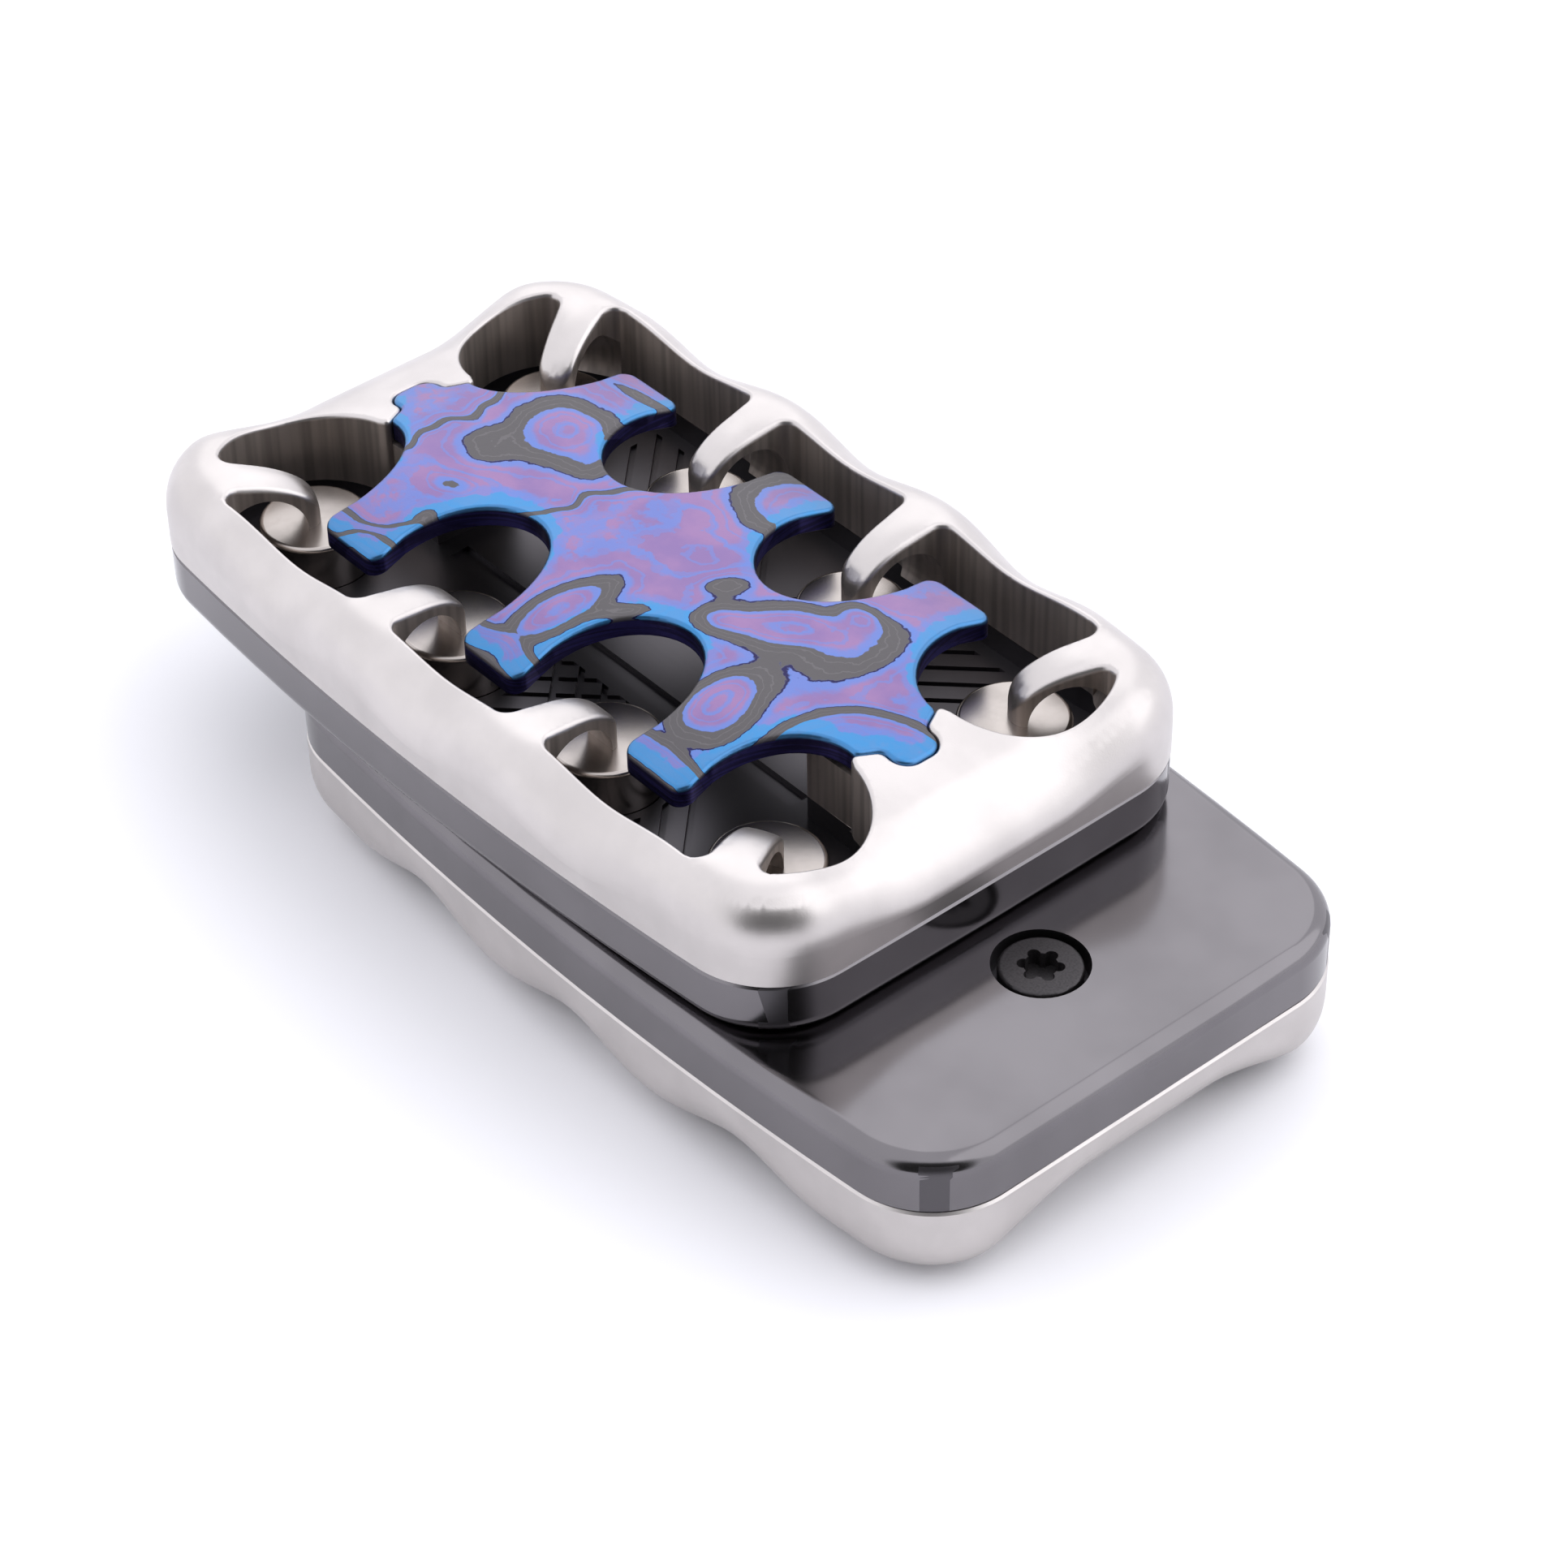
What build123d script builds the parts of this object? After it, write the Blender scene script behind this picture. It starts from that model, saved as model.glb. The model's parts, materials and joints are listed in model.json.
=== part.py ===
"""Magnetic haptic slider: two identical halves that lie face to face and slide along their length.

Each half is a dark base plate, eight disc magnets, an openwork shell whose claws hold the magnets
down, a layered inlay down the middle of the shell, and two low-head screws that join plate and shell.
A half is modelled once, in its own frame: the sliding face is z = 0 and the shell points to +Z.
The whole object stands on z = 0, with X along the slide and the origin below the middle of both halves.
"""
import os

from build123d import *

# ---------------------------------------------------------------- driving dimensions (millimetres)
LENGTH = 52.1            # one half, end to end
WIDTH = 32.0             # one half, across the middle
LONG_BOW = 1.45          # how far the long sides swell between the corners
END_BOW = 0.15           # how far the short sides swell
CORNER_R = 5.2
SLIDE_OFFSET = 11.5      # how far the upper half is pushed back along -X at rest
SLIDE_GAP = 0.02         # running gap between the two sliding faces

PLATE_T = 3.2            # base plate, sliding face to seam
PLATE_FLOOR = 1.8        # sliding face to the inner floor of the plate
PLATE_EDGE_R = 1.0       # rounding between the sliding face and the side
SEAM_CHAMFER = 0.15

HALF_T = 8.5             # one half, sliding face to the flat of the crown
CROWN_FLAT_W = 5.0       # flat on top of the crown, across the half
CROWN_FLAT_L = 26.0      # and along it
CROWN_END_R = 45.0       # crown radius towards the ends
SHELL_CROWN_R = 60.0     # crown radius of the shell, across the half
INLAY_CROWN_R = 28.0     # the inlay's arms droop more than the shell
RIM_SHOULDER = 6.0       # sliding face to where the side wall starts to slope in
RIM_INSET = 2.0          # how far it has sloped in at the height of the crown
SCOOP_R = 14.0           # thumb scoops in the long rails, between the claws
SCOOP_FLOOR = 6.9        # sliding face to the bottom of a scoop

MAGNET_D = 6.0
MAGNET_H = 4.0
MAGNET_SKIN = 0.5        # plate left between a magnet and the sliding face
MAGNET_FIT = 0.05        # radial clearance of a magnet in its pocket
MAGNET_CHAMFER = 0.2
MAGNET_PITCH = 12.4      # spacing along a row
MAGNET_ROW = 8.2         # distance of each row from the middle
MAGNETS_PER_ROW = 4

RIM_INNER = 13.4         # middle to the inner wall of the long rails
WINDOW_R = 5.3           # round end of a window, about the outer magnets
END_BLOCK_X = 15.2       # middle to the inner face of the blocks under the inlay's ends
END_BLOCK_HALF = 2.7

CLAW_WIDTH = 2.3
CLAW_TIP_T = 0.7         # height of a claw's nose over its magnet
CLAW_RELIEF = 0.3        # gap between a claw's stem and its magnet
CLAW_ROOT = 0.9          # how far a claw's root runs into the rail
CLAW_ROOT_Z = 8.2        # sliding face to the top of a claw's root
CORNER_CLAW_LEAN = 2.9   # how far a corner claw's root lies beyond its magnet, towards the end

INLAY_T = 1.3
INLAY_FIT = 0.05         # clearance of the inlay in its end pockets
SPINE_HALF = 2.65        # half width of the spine at its narrowest
ARM_HALF = 2.4           # half width of an arm's square end
ARM_NECK = 0.3           # how much narrower an arm is at its neck, each side
MID_ARM_REACH = 10.9
SIDE_ARM_REACH = 10.4
TAB_SHOULDER = 18.9
TAB_R = 1.45
TAB_REACH = 20.9

SCREW_X = 17.9
SCREW_HEAD_D = 4.3
SCREW_HEAD_H = 1.3
SCREW_HEAD_CHAMFER = 0.2
SCREW_D = 2.5
SCREW_SINK = 0.1         # head below the sliding face
HEAD_WELL_D = 5.0        # well that the head lies in
SCREW_FIT = 0.05         # radial clearance of the thread in the shell
PLATE_HOLE_D = 2.9
SOCKET_CORE_R = 0.85
SOCKET_TIP_R = 1.2
SOCKET_LOBE_R = 0.34
SOCKET_DEPTH = 0.9

GROOVE_W = 0.35
GROOVE_DEPTH = 0.25
GROOVE_PITCH = 1.9
GROOVE_COUNT = 7
GROOVE_ANGLE = 45
CHANNEL_Y = 2.2          # long channels beside the middle
CHANNEL_W = 1.2
CHANNEL_LENGTH = 28.0
GROOVE_INNER_Y = 3.6     # grooves start here
GROOVE_OUTER_Y = 12.6    # and end here
GROOVE_MARGIN = 0.5      # plain floor left round each magnet

SCREW_END = HALF_T - INLAY_T - 0.6      # the thread stops short of the inlay
HALF_L = LENGTH / 2
HALF_W = WIDTH / 2
MAGNET_R = MAGNET_D / 2
MAGNET_TOP = MAGNET_SKIN + MAGNET_H
OUTER_MAGNET_X = MAGNET_PITCH * (MAGNETS_PER_ROW - 1) / 2
MAGNET_XS = [-OUTER_MAGNET_X + i * MAGNET_PITCH for i in range(MAGNETS_PER_ROW)]
ARM_XS = [x + MAGNET_PITCH / 2 for x in MAGNET_XS[:-1]]
LOBE_X = TAB_REACH - TAB_R
MAGNET_SPOTS = [(x, s * MAGNET_ROW) for x in MAGNET_XS for s in (-1, 1)]
SCREW_SPOTS = [(-SCREW_X, 0), (SCREW_X, 0)]
GROOVE_MID_Y = (GROOVE_INNER_Y + GROOVE_OUTER_Y) / 2
GROOVE_LENGTH = 2 * (GROOVE_OUTER_Y - GROOVE_INNER_Y)


# ---------------------------------------------------------------- outlines
def half_outline(inset=0.0):
    """Plan of one half, or the same shape inset all round: four bowed sides and round corners."""
    half_x = HALF_L - inset
    half_y = HALF_W - inset
    end_y = half_y - LONG_BOW
    end_x = half_x - END_BOW
    with BuildSketch() as plan:
        with BuildLine():
            ThreePointArc((-end_x, end_y), (0, half_y), (end_x, end_y))
            ThreePointArc((end_x, end_y), (half_x, 0), (end_x, -end_y))
            ThreePointArc((end_x, -end_y), (0, -half_y), (-end_x, -end_y))
            ThreePointArc((-end_x, -end_y), (-half_x, 0), (-end_x, end_y))
        make_face()
        fillet(plan.vertices(), CORNER_R - inset)
    return plan.sketch


def opening():
    """Plan of the window space: a wide slot with round ends about the outer magnets."""
    block_length = HALF_L - END_BLOCK_X
    with BuildSketch() as plan:
        Rectangle(2 * OUTER_MAGNET_X, 2 * RIM_INNER)
        with Locations(*[(sx * OUTER_MAGNET_X, sy * MAGNET_ROW) for sx in (-1, 1) for sy in (-1, 1)]):
            Circle(WINDOW_R)
        with Locations(*[(s * (END_BLOCK_X + block_length / 2), 0) for s in (-1, 1)]):
            Rectangle(block_length, 2 * END_BLOCK_HALF, mode=Mode.SUBTRACT)
    return plan.sketch


def inlay_outline():
    """Plan of the inlay: a spine, three pairs of square-ended arms and a lobe at each end."""
    inner_x = MAGNET_PITCH / 2
    side = inner_x - ARM_HALF
    neck = side + ARM_NECK
    lean = 0.15
    with BuildSketch() as plan:
        with BuildLine():
            Line((0, MID_ARM_REACH), (ARM_HALF, MID_ARM_REACH))
            Spline((ARM_HALF, MID_ARM_REACH), (inner_x - neck, MAGNET_ROW), (inner_x, SPINE_HALF),
                   tangents=[(-lean, -1), (1, 0)])
            Spline((inner_x, SPINE_HALF), (inner_x + neck, MAGNET_ROW), (inner_x + side, SIDE_ARM_REACH),
                   tangents=[(1, 0), (-lean, 1)])
            Line((inner_x + side, SIDE_ARM_REACH), (OUTER_MAGNET_X - side, SIDE_ARM_REACH))
            Spline((OUTER_MAGNET_X - side, SIDE_ARM_REACH), (OUTER_MAGNET_X - neck, MAGNET_ROW),
                   (OUTER_MAGNET_X, SPINE_HALF), tangents=[(-lean, -1), (1, 0)])
            Line((OUTER_MAGNET_X, SPINE_HALF), (TAB_SHOULDER, SPINE_HALF))
            Line((TAB_SHOULDER, SPINE_HALF), (TAB_SHOULDER, TAB_R))
            Line((TAB_SHOULDER, TAB_R), (LOBE_X, TAB_R))
            RadiusArc((LOBE_X, TAB_R), (TAB_REACH, 0), TAB_R)
            mirror(about=Plane.XZ)
            mirror(about=Plane.YZ)
        make_face()
    return plan.sketch


def crown_section(top, radius, flat, reach):
    """Section under a crown: a flat top with an arc falling away on each side, down to z = 0."""
    half = flat / 2

    def point(across):
        return (across, top - radius + (radius ** 2 - (across - half) ** 2) ** 0.5)

    with BuildSketch() as section:
        with BuildLine():
            Line((0, top), (half, top))
            ThreePointArc(point(half), point((half + reach) / 2), point(reach))
            Polyline(point(reach), (reach, 0), (0, 0))
            mirror(about=Plane.YZ)
        make_face()
    return section.sketch


def crown_body(top, cross_radius):
    """Everything under a crown of the given height: it falls away to the sides and to the ends."""
    with BuildPart() as body:
        with BuildSketch(Plane.YZ):
            add(crown_section(top, cross_radius, CROWN_FLAT_W, HALF_W + 1))
        extrude(amount=HALF_L + 1, both=True)
        with BuildSketch(Plane.XZ):
            add(crown_section(top, CROWN_END_R, CROWN_FLAT_L, HALF_L + 1))
        extrude(amount=HALF_W + 1, both=True, mode=Mode.INTERSECT)
    return body.part


def claw(magnet_x, magnet_y, lean):
    """One claw: a fin on the rail that arches over its magnet and holds it down."""
    out_x = lean
    out_y = RIM_INNER - magnet_y + CLAW_ROOT
    reach = (out_x ** 2 + out_y ** 2) ** 0.5
    nose = MAGNET_TOP + CLAW_TIP_T
    stem = MAGNET_R + CLAW_RELIEF
    outward = Vector(out_x, out_y, 0)
    side_view = Plane((magnet_x, magnet_y, 0), x_dir=outward, z_dir=outward.cross(Vector(0, 0, 1)))
    with BuildPart() as fin:
        with BuildSketch(side_view):
            with BuildLine():
                Line((0, MAGNET_TOP), (0, nose))
                Spline((0, nose), (reach, CLAW_ROOT_Z), tangents=[(0.1, 1), (1, 0)])
                Polyline((reach, CLAW_ROOT_Z), (reach, PLATE_T), (stem, PLATE_T), (stem, MAGNET_TOP),
                         (0, MAGNET_TOP))
            make_face()
        extrude(amount=CLAW_WIDTH / 2, both=True)
    return fin.part


# ---------------------------------------------------------------- one half, piece by piece
with BuildPart() as base_plate:
    with BuildSketch():
        add(half_outline())
    extrude(amount=PLATE_T)
    fillet(base_plate.edges().group_by(Axis.Z)[0], PLATE_EDGE_R)
    chamfer(base_plate.edges().group_by(Axis.Z)[-1], SEAM_CHAMFER)
    with BuildSketch(Plane.XY.offset(PLATE_FLOOR)):
        add(opening())
    extrude(amount=PLATE_T - PLATE_FLOOR, mode=Mode.SUBTRACT)
    with BuildSketch(Plane.XY.offset(MAGNET_SKIN)):
        with Locations(*MAGNET_SPOTS):
            Circle(MAGNET_R + MAGNET_FIT)
    extrude(amount=PLATE_T, mode=Mode.SUBTRACT)
    with BuildSketch(Plane.XY.offset(PLATE_FLOOR - GROOVE_DEPTH)):
        for side in (-1, 1):
            for end in (-1, 1):
                for i in range(GROOVE_COUNT):
                    spot = (end * (i + 0.5) * GROOVE_PITCH, side * GROOVE_MID_Y)
                    with Locations(Location(spot, side * end * GROOVE_ANGLE)):
                        Rectangle(GROOVE_LENGTH, GROOVE_W)
        Rectangle(2 * END_BLOCK_X, 2 * GROOVE_OUTER_Y, mode=Mode.INTERSECT)
        Rectangle(2 * END_BLOCK_X, 2 * GROOVE_INNER_Y, mode=Mode.SUBTRACT)
        with Locations(*MAGNET_SPOTS):
            Circle(MAGNET_R + GROOVE_MARGIN, mode=Mode.SUBTRACT)
        with Locations((0, CHANNEL_Y), (0, -CHANNEL_Y)):
            Rectangle(CHANNEL_LENGTH, CHANNEL_W)
    extrude(amount=GROOVE_DEPTH, mode=Mode.SUBTRACT)
    with BuildSketch():
        with Locations(*SCREW_SPOTS):
            Circle(HEAD_WELL_D / 2)
    extrude(amount=SCREW_SINK + SCREW_HEAD_H, mode=Mode.SUBTRACT)
    with BuildSketch():
        with Locations(*SCREW_SPOTS):
            Circle(PLATE_HOLE_D / 2)
    extrude(amount=PLATE_T, mode=Mode.SUBTRACT)

with BuildPart() as inlay:
    with BuildSketch():
        add(inlay_outline())
    extrude(amount=HALF_T)
    add(crown_body(HALF_T, INLAY_CROWN_R), mode=Mode.INTERSECT)
    add(crown_body(HALF_T - INLAY_T, INLAY_CROWN_R), mode=Mode.SUBTRACT)

with BuildPart() as inlay_seat:
    # the shell keeps INLAY_FIT clear of the inlay's shoulders and lobes
    with BuildSketch():
        Rectangle(2 * (TAB_SHOULDER + INLAY_FIT), 2 * (MAGNET_ROW - WINDOW_R + INLAY_FIT))
        Rectangle(2 * LOBE_X, 2 * (TAB_R + INLAY_FIT))
        with Locations((-LOBE_X, 0), (LOBE_X, 0)):
            Circle(TAB_R + INLAY_FIT)
    extrude(amount=HALF_T)
    add(crown_body(HALF_T - INLAY_T, INLAY_CROWN_R), mode=Mode.SUBTRACT)

with BuildPart() as shell_body:
    # upright side wall, then a slope in to the crown
    with BuildSketch(Plane.XY.offset(PLATE_T)):
        add(half_outline())
    extrude(amount=RIM_SHOULDER - PLATE_T)
    with BuildSketch(Plane.XY.offset(RIM_SHOULDER)):
        add(half_outline())
    with BuildSketch(Plane.XY.offset(HALF_T)):
        add(half_outline(RIM_INSET))
    loft()
    add(crown_body(HALF_T, SHELL_CROWN_R), mode=Mode.INTERSECT)

with BuildPart() as claws:
    # two in one quarter of the half, mirrored to the other rail and the other end
    add(claw(MAGNET_XS[2], MAGNET_ROW, 0))
    add(claw(MAGNET_XS[3], MAGNET_ROW, CORNER_CLAW_LEAN))
    mirror(about=Plane.XZ)
    mirror(about=Plane.YZ)
    add(shell_body.part, mode=Mode.INTERSECT)

with BuildPart() as shell:
    add(shell_body.part)
    with BuildSketch(Plane.XY.offset(PLATE_T)):
        add(opening())
    extrude(amount=HALF_T, mode=Mode.SUBTRACT)
    add(claws.part)
    # thumb scoops over the long rails, between the claws
    with BuildSketch(Plane.XZ.offset(RIM_INNER - 1), Plane.XZ.offset(-HALF_W - 1)):
        with Locations(*[(x, SCOOP_FLOOR + SCOOP_R) for x in ARM_XS]):
            Circle(SCOOP_R)
    extrude(amount=HALF_W - RIM_INNER + 2, mode=Mode.SUBTRACT)
    add(inlay_seat.part, mode=Mode.SUBTRACT)
    with BuildSketch():
        with Locations(*SCREW_SPOTS):
            Circle(SCREW_D / 2 + SCREW_FIT)
    extrude(amount=SCREW_END + SCREW_FIT, mode=Mode.SUBTRACT)

with BuildPart() as magnet:
    with BuildSketch(Plane.XY.offset(MAGNET_SKIN)):
        Circle(MAGNET_R)
    extrude(amount=MAGNET_H)
    chamfer(magnet.edges(), MAGNET_CHAMFER)

with BuildPart() as screw:
    with BuildSketch(Plane.XY.offset(SCREW_SINK)):
        Circle(SCREW_HEAD_D / 2)
    extrude(amount=SCREW_HEAD_H)
    chamfer(screw.edges().group_by(Axis.Z)[0], SCREW_HEAD_CHAMFER)
    with BuildSketch(Plane.XY.offset(SCREW_SINK + SCREW_HEAD_H)):
        Circle(SCREW_D / 2)
    extrude(amount=SCREW_END - SCREW_SINK - SCREW_HEAD_H)
    with BuildSketch(Plane.XY.offset(SCREW_SINK)):
        Circle(SOCKET_CORE_R)
        with PolarLocations(SOCKET_TIP_R - SOCKET_LOBE_R, 6):
            Circle(SOCKET_LOBE_R)
    extrude(amount=SOCKET_DEPTH, mode=Mode.SUBTRACT)

# ---------------------------------------------------------------- both halves in place
PIECES = {"base_plate": (base_plate, (0, 0)), "shell": (shell, (0, 0)), "inlay": (inlay, (0, 0))}
for row, row_y in (("near", -MAGNET_ROW), ("far", MAGNET_ROW)):
    for number, magnet_x in enumerate(MAGNET_XS, start=1):
        PIECES[f"magnet_{row}_{number}"] = (magnet, (magnet_x, row_y))
for end, spot in zip(("left", "right"), SCREW_SPOTS):
    PIECES[f"screw_{end}"] = (screw, spot)

HALVES = {
    "upper": Location((-SLIDE_OFFSET / 2, 0, HALF_T + SLIDE_GAP)),
    "lower": Location((SLIDE_OFFSET / 2, 0, HALF_T), (180, 0, 0)),
}
os.makedirs("parts", exist_ok=True)
for half, place in HALVES.items():
    for name, (piece, spot) in PIECES.items():
        copy = piece.part.moved(place * Location((*spot, 0)))
        copy.label = f"{half}_{name}"
        export_step(copy, f"parts/{copy.label}.step")
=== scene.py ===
"""Looks of a pocket magnetic slider: two halves that lie face to face and slide along their length.

Each half is a dark polished base plate, eight nickel-plated disc magnets, an openwork shell of satin
titanium whose claws hold the magnets, a layered anodised inlay and two black six-lobe screws. A piece
is modelled once, in the frame of one half (sliding face at z = 0, shell towards +Z), and is then
copied into the upper and the lower half. Sizes are millimetres until a mesh is put in its place.
"""

import json
import logging
import math
from contextlib import contextmanager
from dataclasses import dataclass, field
from enum import Enum
from itertools import product
from typing import Any, Callable, Iterator, Sequence

import bpy
import numpy as np
from mathutils import Matrix, Vector
from mathutils.geometry import delaunay_2d_cdt

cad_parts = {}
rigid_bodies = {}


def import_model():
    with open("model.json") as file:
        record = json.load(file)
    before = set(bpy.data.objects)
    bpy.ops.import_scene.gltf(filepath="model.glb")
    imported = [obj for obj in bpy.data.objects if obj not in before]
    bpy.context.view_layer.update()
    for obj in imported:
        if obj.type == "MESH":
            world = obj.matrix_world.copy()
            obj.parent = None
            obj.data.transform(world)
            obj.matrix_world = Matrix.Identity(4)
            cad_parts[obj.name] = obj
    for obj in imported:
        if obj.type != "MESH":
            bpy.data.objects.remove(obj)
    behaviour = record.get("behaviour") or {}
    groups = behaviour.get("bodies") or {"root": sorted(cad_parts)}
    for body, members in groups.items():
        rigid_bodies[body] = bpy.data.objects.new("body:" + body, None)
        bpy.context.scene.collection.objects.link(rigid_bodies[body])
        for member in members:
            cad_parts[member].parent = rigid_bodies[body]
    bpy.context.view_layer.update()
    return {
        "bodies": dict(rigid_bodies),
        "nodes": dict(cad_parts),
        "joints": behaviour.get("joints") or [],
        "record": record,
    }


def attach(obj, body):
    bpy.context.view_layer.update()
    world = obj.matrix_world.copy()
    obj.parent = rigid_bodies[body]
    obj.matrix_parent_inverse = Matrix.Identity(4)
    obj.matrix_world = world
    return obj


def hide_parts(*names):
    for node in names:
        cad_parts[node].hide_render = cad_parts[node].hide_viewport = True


MM = 0.001
HALF_T = 8.5
PLATE_T = 3.2
SLIDE_OFFSET = 11.5
SLIDE_GAP = 0.02
MAGNET_ROW = 8.2
MAGNET_PITCH = 12.4
MAGNET_R = 3.0
MAGNET_TOP = 4.5
MAGNET_XS = tuple((i - 1.5) * MAGNET_PITCH for i in range(4))
SCREW_X = 17.9
CROWN_END = 13.0
CROWN_FALL = 90.0
CROWN_FLAT = 2.5
SLIVER = 0.004
SAME = 0.01

log = logging.getLogger("slider")

Piece = bpy.types.Object
Array = np.ndarray
Field = Callable[[Array, Array, Array], Array]
Pair = tuple[float, float]
Triple = tuple[float, float, float]
Colour = tuple[float, float, float, float]


class Side(Enum):
    """The two halves of the slider."""

    UPPER = "upper"
    LOWER = "lower"

    @property
    def body(self) -> str:
        """Name of the CAD body that the half's pieces ride on."""
        return f"{self.value}_half"

    @property
    def place(self) -> Matrix:
        """Where the half's own frame lies in the frame of the whole object, from millimetres to metres."""
        if self is Side.UPPER:
            put = Matrix.Translation((-SLIDE_OFFSET / 2, 0, HALF_T + SLIDE_GAP))
        else:
            put = Matrix.Translation((SLIDE_OFFSET / 2, 0, HALF_T)) @ Matrix.Rotation(math.pi, 4, "X")
        return Matrix.Scale(MM, 4) @ put


# ---- operators
def start_fresh() -> None:
    """Leaves object mode with nothing selected."""
    if bpy.context.object and bpy.context.object.mode != "OBJECT":
        bpy.ops.object.mode_set(mode="OBJECT")
    bpy.ops.object.select_all(action="DESELECT")


def focus(piece: Piece) -> None:
    """Makes a piece the only selected one and the active one."""
    start_fresh()
    piece.select_set(True)
    bpy.context.view_layer.objects.active = piece


@contextmanager
def editing(piece: Piece) -> Iterator[None]:
    """Edit mode on a piece, with all of it selected at the start."""
    focus(piece)
    bpy.ops.object.mode_set(mode="EDIT")
    bpy.ops.mesh.select_all(action="SELECT")
    yield
    bpy.ops.object.mode_set(mode="OBJECT")


def linked(name: str, data: bpy.types.ID) -> Piece:
    """Adds an object for a mesh, a light or a camera."""
    piece = bpy.data.objects.new(name, data)
    bpy.context.scene.collection.objects.link(piece)
    return piece


def apply_modifier(piece: Piece, kind: str, **settings: Any) -> None:
    """Adds a modifier of one kind, such as BEVEL, to a piece with the given settings, and applies it."""
    focus(piece)
    modifier = piece.modifiers.new(kind.lower(), kind)
    for name, value in settings.items():
        setattr(modifier, name, value)
    bpy.ops.object.modifier_apply(modifier=modifier.name)


def cut(piece: Piece, tool: Piece, operation: str = "DIFFERENCE") -> None:
    """Applies a boolean of a tool to a piece, and removes the tool."""
    apply_modifier(piece, "BOOLEAN", object=tool, operation=operation, solver="EXACT")
    bpy.data.objects.remove(tool)


def clean(piece: Piece, gap: float) -> None:
    """Splits the many-sided faces that a cut leaves, and takes out slivers shorter than the given gap."""
    with editing(piece):
        bpy.ops.mesh.quads_convert_to_tris(ngon_method="BEAUTY")
        bpy.ops.mesh.select_all(action="SELECT")
        bpy.ops.mesh.dissolve_degenerate(threshold=gap)
        bpy.ops.mesh.remove_doubles(threshold=gap)


def shade(piece: Piece, degrees: float) -> None:
    """Smooth shading, with a crease wherever two faces meet at more than the given angle."""
    focus(piece)
    bpy.ops.object.shade_smooth_by_angle(angle=math.radians(degrees))
    apply_modifier(piece, "WEIGHTED_NORMAL", keep_sharp=True, weight=100)


def bevel_edges(piece: Piece, wanted: Callable[[Vector, Vector], bool], width: float,
                segments: int) -> None:
    """Bevels those edges of a piece whose two ends satisfy a test.

    Args:
        piece: the mesh object.
        wanted: a test of an edge's two end points.
        width: the bevel's width.
        segments: how many faces go round it.
    """
    focus(piece)
    bpy.ops.object.mode_set(mode="EDIT")
    bpy.ops.mesh.select_mode(type="EDGE")
    bpy.ops.mesh.select_all(action="DESELECT")
    bpy.ops.object.mode_set(mode="OBJECT")
    points = piece.data.vertices
    for edge in piece.data.edges:
        a, b = (points[i].co for i in edge.vertices)
        edge.select = wanted(a, b)
    bpy.ops.object.mode_set(mode="EDIT")
    bpy.ops.mesh.bevel(offset=width, segments=segments, affect="EDGES")
    bpy.ops.object.mode_set(mode="OBJECT")


def settled() -> Piece:
    """Puts the place of the newest object into its mesh, and returns it."""
    bpy.ops.object.transform_apply(location=True, rotation=True, scale=True)
    return bpy.context.object


def disc(radius: float, low: float, high: float, at: Pair = (0, 0),
         sides: int = 96) -> Piece:
    """Adds a cylinder between two heights.

    Args:
        radius: its radius.
        low: height of its lower face.
        high: height of its upper face.
        at: x and y of its axis.
        sides: number of side faces.

    Returns:
        The new object, with its place in its mesh.
    """
    start_fresh()
    bpy.ops.mesh.primitive_cylinder_add(vertices=sides, radius=radius, depth=high - low,
                                        location=(*at, (low + high) / 2))
    return settled()


def block(low: Sequence[float], high: Sequence[float]) -> Piece:
    """Adds a box between two corners, with its place in its mesh."""
    start_fresh()
    middle = [(a + b) / 2 for a, b in zip(low, high)]
    bpy.ops.mesh.primitive_cube_add(size=1, location=middle, scale=[b - a for a, b in zip(low, high)])
    return settled()


def joined(pieces: Sequence[Piece]) -> Piece:
    """Joins several objects into the first of them."""
    focus(pieces[0])
    for piece in pieces:
        piece.select_set(True)
    bpy.ops.object.join()
    return pieces[0]


# ---- finishes
def arithmetic(operation: str, turned: bool = False) -> Callable[["Value", Any], "Value"]:
    """A method that adds a Math node for a value and another, or for these in turned order."""
    def method(value: "Value", other: Any) -> "Value":
        """Adds the node and returns its output."""
        pair = (other, value) if turned else (value, other)
        return value.paint.math(operation, *pair)
    return method


@dataclass(frozen=True)
class Value:
    """One output of a material's nodes, with arithmetic."""

    paint: "Paint"
    socket: bpy.types.NodeSocket

    __add__ = arithmetic("ADD")
    __radd__ = arithmetic("ADD", turned=True)
    __sub__ = arithmetic("SUBTRACT")
    __rsub__ = arithmetic("SUBTRACT", turned=True)
    __mul__ = arithmetic("MULTIPLY")
    __rmul__ = arithmetic("MULTIPLY", turned=True)

    def size(self) -> "Value":
        """The value without its sign."""
        return self.paint.math("ABSOLUTE", self)

    def fraction(self) -> "Value":
        """What is left after the whole number."""
        return self.paint.math("FRACT", self)

    def ramp(self, low: float, high: float) -> "Value":
        """0 at low and 1 at high, with a smooth passage between them; low may be the larger one."""
        return self.paint.node("ShaderNodeMapRange", {"interpolation_type": "SMOOTHSTEP"},
                               {"Value": self, "From Min": low, "From Max": high})

    def band(self, middle: float, half: float, soft: float) -> "Value":
        """1 within half of the middle value, 0 beyond, with soft edges."""
        return (self - middle).size().ramp(half + soft, half)

    def contours(self, rings: float, wobble: "Value", *line: float) -> "Value":
        """Lines along the value's levels, so many to each unit, shifted by noise; line is as in band."""
        return (self * rings + wobble).fraction().band(*line)


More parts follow.
